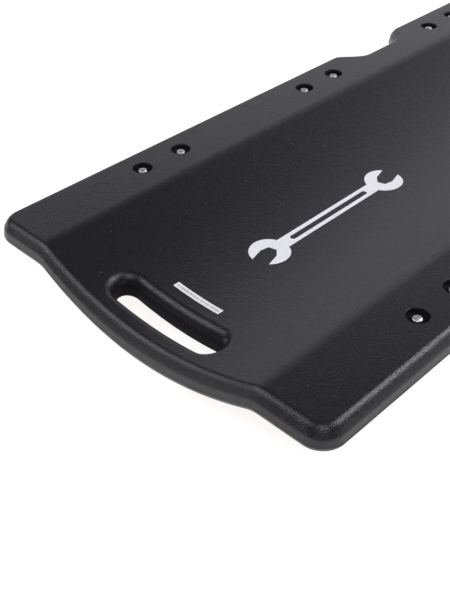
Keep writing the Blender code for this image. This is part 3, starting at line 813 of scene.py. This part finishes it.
for number, name in enumerate(DECK_SCREWS):
    low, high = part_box(name)
    x, y = middle(name).xy
    quarter = Matrix.Rotation(math.radians(37 * number % 90), 4, "Z")
    seat = Matrix.Translation((x, y, high.z - HEAD_HEIGHT)) @ quarter
    placed(screw, name.replace("deck_", "deck_pan_"), seat, "deck", name)
    caster = min(CASTERS, key=lambda c: (middle(f"{c}_plate").xy - Vector((x, y))).length)
    plate_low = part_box(f"{caster}_plate")[0].z
    seat = Matrix.Translation((x, y, plate_low - NUT_HEIGHT)) @ quarter
    placed(nut, name.replace("deck_screw", "lock_nut"), seat, "deck", None)
bpy.data.objects.remove(screw, do_unlink=True)
bpy.data.objects.remove(nut, do_unlink=True)

# ---------------------------------------------------------------------------------------------
# Headrest: a foam cushion upholstered in black vinyl with a piped seam, on a moulded board that
# four screws pull down onto the head end of the deck.
# ---------------------------------------------------------------------------------------------
BOARD_CORNER = 0.015
BOARD_EDGE = 0.0012
PAD_INSET = 0.028
PAD_CORNER = 0.024
PAD_WALL = 0.0125
PAD_CROWN = (0.008, 0.0075)
VOXEL = 0.005
PRESSURE = 4.0
PUFF_CAP = 0.008
SEAM_HEIGHT = 0.0150
PIPING_RADIUS = 0.0017
PIPING_SIDES = 8


def vinyl_finish():
    """Black upholstery vinyl with a pebbled grain and soft creases."""
    finish = Finish("cushion_vinyl", Specular_IOR_Level=0.45)
    where = finish.place()
    pebble = finish.node("ShaderNodeTexVoronoi", {"feature": "SMOOTH_F1"}, {"Vector": where, "Scale": 620.0})
    fold = finish.speckle(finish.place((1.0, 1.0, 2.5)), 38.0, detail=3.0)
    wear = finish.speckle(where, 14.0)
    finish.set("Base Color", finish.mix(wear, (0.012, 0.012, 0.014), (0.020, 0.019, 0.021)))
    finish.set("Roughness", 0.40 + wear * 0.10 + pebble * 0.08)
    finish.set("Normal", finish.bump(pebble * 0.22 + fold * 0.9, 0.0009))
    return finish.material


def board_finish():
    """Black moulded board with a matt, fine grain."""
    finish = Finish("headrest_board_plastic")
    where = finish.place()
    grain = finish.speckle(where, 1300.0)
    cloud = finish.speckle(where, 25.0)
    finish.set("Base Color", finish.mix(cloud, (0.014, 0.014, 0.015), (0.022, 0.022, 0.023)))
    finish.set("Roughness", 0.46 + grain * 0.12)
    finish.set("Normal", finish.bump(grain, 0.00010))
    return finish.material


low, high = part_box("headrest_board")
x, y = middle("headrest_board").xy
reach = (high - low) / 2
inner = reach - Vector((BOARD_CORNER, BOARD_CORNER, 0))
core = (x - inner.x, y - inner.y, x + inner.x, y + inner.y)
bm = prism(hole_outline(core, BOARD_CORNER, 8), low.z, high.z)
board = object_of(bm, "headrest_board_moulding", board_finish(), smooth=40)
edge = board.modifiers.new("edge", "BEVEL")
edge.width = BOARD_EDGE
edge.segments = 3
edge.harden_normals = True
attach(board, "deck")
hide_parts("headrest_board")

low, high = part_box("headrest_cushion")
x, y = middle("headrest_cushion").xy
reach = (high - low) / 2
inner = reach - Vector((PAD_INSET, PAD_INSET, 0))
core = (x - inner.x, y - inner.y, x + inner.x, y + inner.y)
bm = bmesh.new()
face = bm.faces.new([bm.verts.new((px, py, low.z)) for px, py in hole_outline(core, PAD_CORNER, 8)])
made = bmesh.ops.extrude_face_region(bm, geom=[face], use_keep_orig=True)["geom"]
top = next(item for item in made if isinstance(item, bmesh.types.BMFace))
bmesh.ops.translate(bm, vec=(0, 0, PAD_WALL), verts=top.verts)
bmesh.ops.recalc_face_normals(bm, faces=bm.faces)
grow(bm, top, edge_moves(*PAD_CROWN, 5))
cushion = object_of(bm, "headrest_pad", vinyl_finish())
remesh = cushion.modifiers.new("remesh", "REMESH")
remesh.mode = "VOXEL"
remesh.voxel_size = VOXEL
graph = bpy.context.evaluated_depsgraph_get()
cushion.data = bpy.data.meshes.new_from_object(cushion.evaluated_get(graph), depsgraph=graph)
cushion.modifiers.clear()
rest = [v.co.copy() for v in cushion.data.vertices]
pinned = cushion.vertex_groups.new(name="pinned")
pinned.add([v.index for v in cushion.data.vertices if v.co.z < low.z + 0.0030], 1.0, "REPLACE")
cloth = cushion.modifiers.new("cloth", "CLOTH")
cloth.settings.use_pressure = True
cloth.settings.uniform_pressure_force = PRESSURE
cloth.settings.vertex_group_mass = "pinned"
cloth.settings.effector_weights.gravity = 0.0
for number in range(1, 21):
    bpy.context.scene.frame_set(number)
graph = bpy.context.evaluated_depsgraph_get()
cushion.data = bpy.data.meshes.new_from_object(cushion.evaluated_get(graph), depsgraph=graph)
cushion.modifiers.clear()
bpy.context.scene.frame_set(1)
for vert, start in zip(cushion.data.vertices, rest):
    shift = vert.co - start
    if shift.length > PUFF_CAP:
        vert.co = start + shift.normalized() * PUFF_CAP
    vert.co.z = min(vert.co.z, high.z - 0.0002)
bm = bmesh.new()
bm.from_mesh(cushion.data)
for _ in range(3):
    raised = [v for v in bm.verts if v.co.z > low.z + 0.002]
    bmesh.ops.smooth_vert(bm, verts=raised, factor=0.5, use_axis_x=True, use_axis_y=True, use_axis_z=True)
bmesh.ops.subdivide_edges(bm, edges=bm.edges, cuts=1, use_grid_fill=True, smooth=1.0)
bmesh.ops.recalc_face_normals(bm, faces=bm.faces)

seam = bm.copy()
seam_height = low.z + SEAM_HEIGHT
geom = seam.verts[:] + seam.edges[:] + seam.faces[:]
found = bmesh.ops.bisect_plane(seam, geom=geom, dist=1e-7, plane_co=(0, 0, seam_height), plane_no=(0, 0, 1))
ring = sorted(
    {v for v in found["geom_cut"] if isinstance(v, bmesh.types.BMVert)},
    key=lambda v: math.atan2(v.co.y - y, v.co.x - x),
)
path = [v.co.copy() for v in ring][::2]
seam.free()
bm.to_mesh(cushion.data)
bm.free()
cushion.data.shade_smooth()
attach(cushion, "deck")
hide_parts("headrest_cushion")

bm = bmesh.new()
loops = []
for number, point in enumerate(path):
    ahead = path[(number + 1) % len(path)] - path[number - 1]
    outward = ahead.cross(Vector((0, 0, 1))).normalized()
    ring = []
    for step in range(PIPING_SIDES):
        angle = math.tau * step / PIPING_SIDES
        offset = outward * math.cos(angle) + Vector((0, 0, 1)) * math.sin(angle)
        ring.append(bm.verts.new(point + outward * 0.0004 + offset * PIPING_RADIUS))
    loops.append(ring)
for number, ring in enumerate(loops):
    following = loops[(number + 1) % len(loops)]
    for step in range(PIPING_SIDES):
        bm.faces.new((ring[step], ring[step - 1], following[step - 1], following[step]))
bmesh.ops.recalc_face_normals(bm, faces=bm.faces)
piping = object_of(bm, "headrest_piping", cushion.data.materials[0], smooth=180)
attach(piping, "deck")

# ---------------------------------------------------------------------------------------------
# Casters: a zinc-plated top plate, a ball race and a king pin on the deck; a pressed fork that
# swivels under them; a ribbed plastic wheel on a riveted axle.
# ---------------------------------------------------------------------------------------------
PLATE_CORE = (0.016, 0.034)
CROWN_RADIUS = 0.020
SHEET = 0.0025
WHEEL_RADIUS = 0.0254
TREAD_HALF = 0.0100
HUB_HALF = 0.0110
AXLE_RADIUS = 0.003
PIN_RADIUS = 0.0055
BOSS_RADIUS = 0.0080
RIB_COUNT = 6
BALL_COUNT = 16
BALL_RADIUS = 0.0011
BALL_CIRCLE = 0.0168


def wheel_finish():
    """Dark nylon, worn grey where the tread rolls on the floor."""
    finish = Finish("wheel_plastic")
    where = finish.place()
    scuff = finish.speckle(where, 420.0, detail=4.0, rough=0.65).between(0.48, 0.70)
    cloud = finish.speckle(where, 45.0)
    finish.set("Base Color", finish.mix(scuff * 0.5, (0.020, 0.020, 0.021), (0.060, 0.058, 0.055)))
    finish.set("Roughness", 0.42 + cloud * 0.10 + scuff * 0.14)
    finish.set("Normal", finish.bump(scuff * 0.5 + cloud * 0.5, 0.00010))
    return finish.material


def sideways(bm):
    """Lays a shape turned about Z along Y."""
    bmesh.ops.rotate(bm, verts=bm.verts, matrix=Matrix.Rotation(math.pi / 2, 3, "X"))
    return bm


def beveled(obj, width):
    edge = obj.modifiers.new("edge", "BEVEL")
    edge.width = width
    edge.segments = 2
    edge.limit_method = "ANGLE"
    edge.angle_limit = math.radians(35)
    edge.harden_normals = True
    return obj


first = CASTERS[0]
plate_low, plate_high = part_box(f"{first}_plate")
crown_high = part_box(f"{first}_fork")[1].z
axis = middle(f"{first}_plate")
trail = (middle(f"{first}_wheel").xy - axis.xy).length
steel = zinc_finish("bearing_steel", (0.58, 0.58, 0.59))

core = (-PLATE_CORE[0], -PLATE_CORE[1], PLATE_CORE[0], PLATE_CORE[1])
plate = object_of(prism(hole_outline(core, 0.006, 5), plate_low.z, plate_high.z), "plate_template", zinc)
near = [middle(name) for name in DECK_SCREWS if (middle(name).xy - axis.xy).length < 0.05]
bolts = sorted(spot.y - axis.y for spot in near)
cut(plate, [prism(hole_outline(at((0, shift)), 0.0028, 5), 0.0, 0.1) for shift in bolts])
plate.data.shade_smooth()
plate.data.set_sharp_from_angle(angle=math.radians(35))
beveled(plate, 0.0005)

race_low = crown_high + 0.0003
race_high = plate_low.z - 0.0003
rise_up = race_high - race_low
# The lower cup, the groove that the balls run in, and the upper cup, by share of the race's height.
cups = (
    (0.0172, 0.16), (0.0184, 0.42), (0.0176, 0.42), (0.0160, 0.30), (0.0140, 0.50),
    (0.0160, 0.62), (0.0180, 0.55), (0.0190, 0.60),
)
profile = [(0.0080, race_low), (0.0150, race_low)]
profile += [(radius, race_low + rise_up * share) for radius, share in cups]
profile += [(0.0186, race_high - 0.0004), (0.0175, race_high), (0.0080, race_high), (0.0080, race_low)]
race = object_of(turned(profile, 40), "race_template", steel)
balls = []
for number in range(BALL_COUNT):
    ball = bmesh.new()
    bmesh.ops.create_uvsphere(ball, u_segments=12, v_segments=8, radius=BALL_RADIUS)
    angle = math.tau * number / BALL_COUNT
    spot = (BALL_CIRCLE * math.cos(angle), BALL_CIRCLE * math.sin(angle), race_low + rise_up * 0.47)
    bmesh.ops.translate(ball, verts=ball.verts, vec=spot)
    balls.append(ball)
cut(race, balls, "UNION")
race.data.shade_smooth()
race.data.set_sharp_from_angle(angle=math.radians(35))

pin_low, pin_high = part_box(f"{first}_king_pin")
seat = crown_high - SHEET - 0.0003
profile = [(0, pin_low.z), (0.0045, pin_low.z + 0.0001), (0.0070, pin_low.z + 0.0006)]
profile += [(0.0085, pin_low.z + 0.0014), (0.0090, seat - 0.0003), (0.0088, seat)]
profile += [(PIN_RADIUS, seat), (PIN_RADIUS, pin_high.z), (0, pin_high.z)]
pin = object_of(turned(profile, 28), "pin_template", steel, smooth=35)

outline = [(-0.0100, crown_high - SHEET / 2)] + arc((trail, WHEEL_RADIUS), BOSS_RADIUS, 200, 375, 20)
outline += [(0.0170, crown_high - SHEET / 2)]
leg_in = HUB_HALF + 0.0004
legs = []
for sign in (-1, 1):
    leg = prism(outline, leg_in, leg_in + SHEET)
    bmesh.ops.rotate(leg, verts=leg.verts, matrix=Matrix.Rotation(math.pi / 2, 3, "X"))
    if sign > 0:
        bmesh.ops.translate(leg, verts=leg.verts, vec=(0, 2 * leg_in + SHEET, 0))
    legs.append(leg)
crown_low = crown_high - SHEET
profile = [(0.0058, crown_low), (0.0185, crown_low), (0.0190, crown_low - 0.0012)]
profile += [(CROWN_RADIUS, crown_low - 0.0012), (CROWN_RADIUS, crown_high - 0.0010)]
profile += [(CROWN_RADIUS - 0.0010, crown_high), (0.0058, crown_high), (0.0058, crown_low)]
fork = object_of(turned(profile, 44), "fork_template", zinc)
cut(fork, legs, "UNION")
bore = AXLE_RADIUS + 0.0003
axle_bore = sideways(turned([(0, -0.03), (bore, -0.03), (bore, 0.03), (0, 0.03)], 20))
bmesh.ops.translate(axle_bore, verts=axle_bore.verts, vec=(trail, 0, WHEEL_RADIUS))
cut(fork, [axle_bore])
fork.data.shade_smooth()
fork.data.set_sharp_from_angle(angle=math.radians(35))
beveled(fork, 0.0005)

# One side of the wheel from its bore out: the hub, the dished web, and the rounded tread.
half = [(bore, HUB_HALF), (0.0066, HUB_HALF), (0.0074, HUB_HALF - 0.0006)]
half += [(0.0080, 0.0052), (0.0090, 0.0044), (0.0178, 0.0044), (0.0186, 0.0052)]
half += [(0.0190, TREAD_HALF - 0.0006), (0.0196, TREAD_HALF), (0.0226, TREAD_HALF)]
half += arc((0.0226, TREAD_HALF - 0.0028), 0.0028, 75, 15, 4)
half += [(WHEEL_RADIUS, TREAD_HALF - 0.0036), (WHEEL_RADIUS, 0.0002)]
profile = half + [(radius, -height) for radius, height in reversed(half)]
wheel = object_of(sideways(turned(profile + profile[:1], 56)), "wheel_template", wheel_finish())
ribs = []
for number in range(RIB_COUNT):
    rib = bmesh.new()
    bmesh.ops.create_cube(rib, size=1.0)
    bmesh.ops.scale(rib, verts=rib.verts, vec=(0.0130, 0.0154, 0.0018))
    bmesh.ops.translate(rib, verts=rib.verts, vec=(0.0132, 0, 0))
    bmesh.ops.rotate(rib, verts=rib.verts, matrix=Matrix.Rotation(math.tau * number / RIB_COUNT, 3, "Y"))
    ribs.append(rib)
cut(wheel, ribs, "UNION")
wheel.data.shade_smooth()
wheel.data.set_sharp_from_angle(angle=math.radians(35))

outer = leg_in + SHEET + 0.0003
profile = [(0, -outer - 0.0018), (0.0026, -outer - 0.0017), (0.0042, -outer - 0.0011), (0.0050, -outer)]
profile += [(AXLE_RADIUS, -outer), (AXLE_RADIUS, outer), (0.0046, outer), (0.0044, outer + 0.0008)]
profile += [(0.0032, outer + 0.0016), (0.0014, outer + 0.0018), (0, outer + 0.0012)]
axle = object_of(sideways(turned(profile, 28)), "axle_template", steel, smooth=35)

for name in CASTERS:
    hub, wheel_hub = middle(f"{name}_plate"), middle(f"{name}_wheel")
    on_deck = Matrix.Translation((hub.x, hub.y, 0))
    heading = math.atan2(wheel_hub.y - hub.y, wheel_hub.x - hub.x)
    swivel = on_deck @ Matrix.Rotation(heading, 4, "Z")
    rolling = swivel @ Matrix.Translation((trail, 0, WHEEL_RADIUS))
    placed(plate, f"{name}_top_plate", on_deck, "deck", f"{name}_plate")
    placed(race, f"{name}_race", swivel, "deck", f"{name}_ball_race")
    placed(pin, f"{name}_pin", on_deck, "deck", f"{name}_king_pin")
    placed(fork, f"{name}_pressed_fork", swivel, f"{name}_fork", f"{name}_fork")
    placed(axle, f"{name}_rivet", rolling, f"{name}_fork", f"{name}_axle")
    placed(wheel, f"{name}_ribbed_wheel", rolling, f"{name}_wheel", f"{name}_wheel")
for template in (plate, race, pin, fork, axle, wheel):
    bpy.data.objects.remove(template, do_unlink=True)
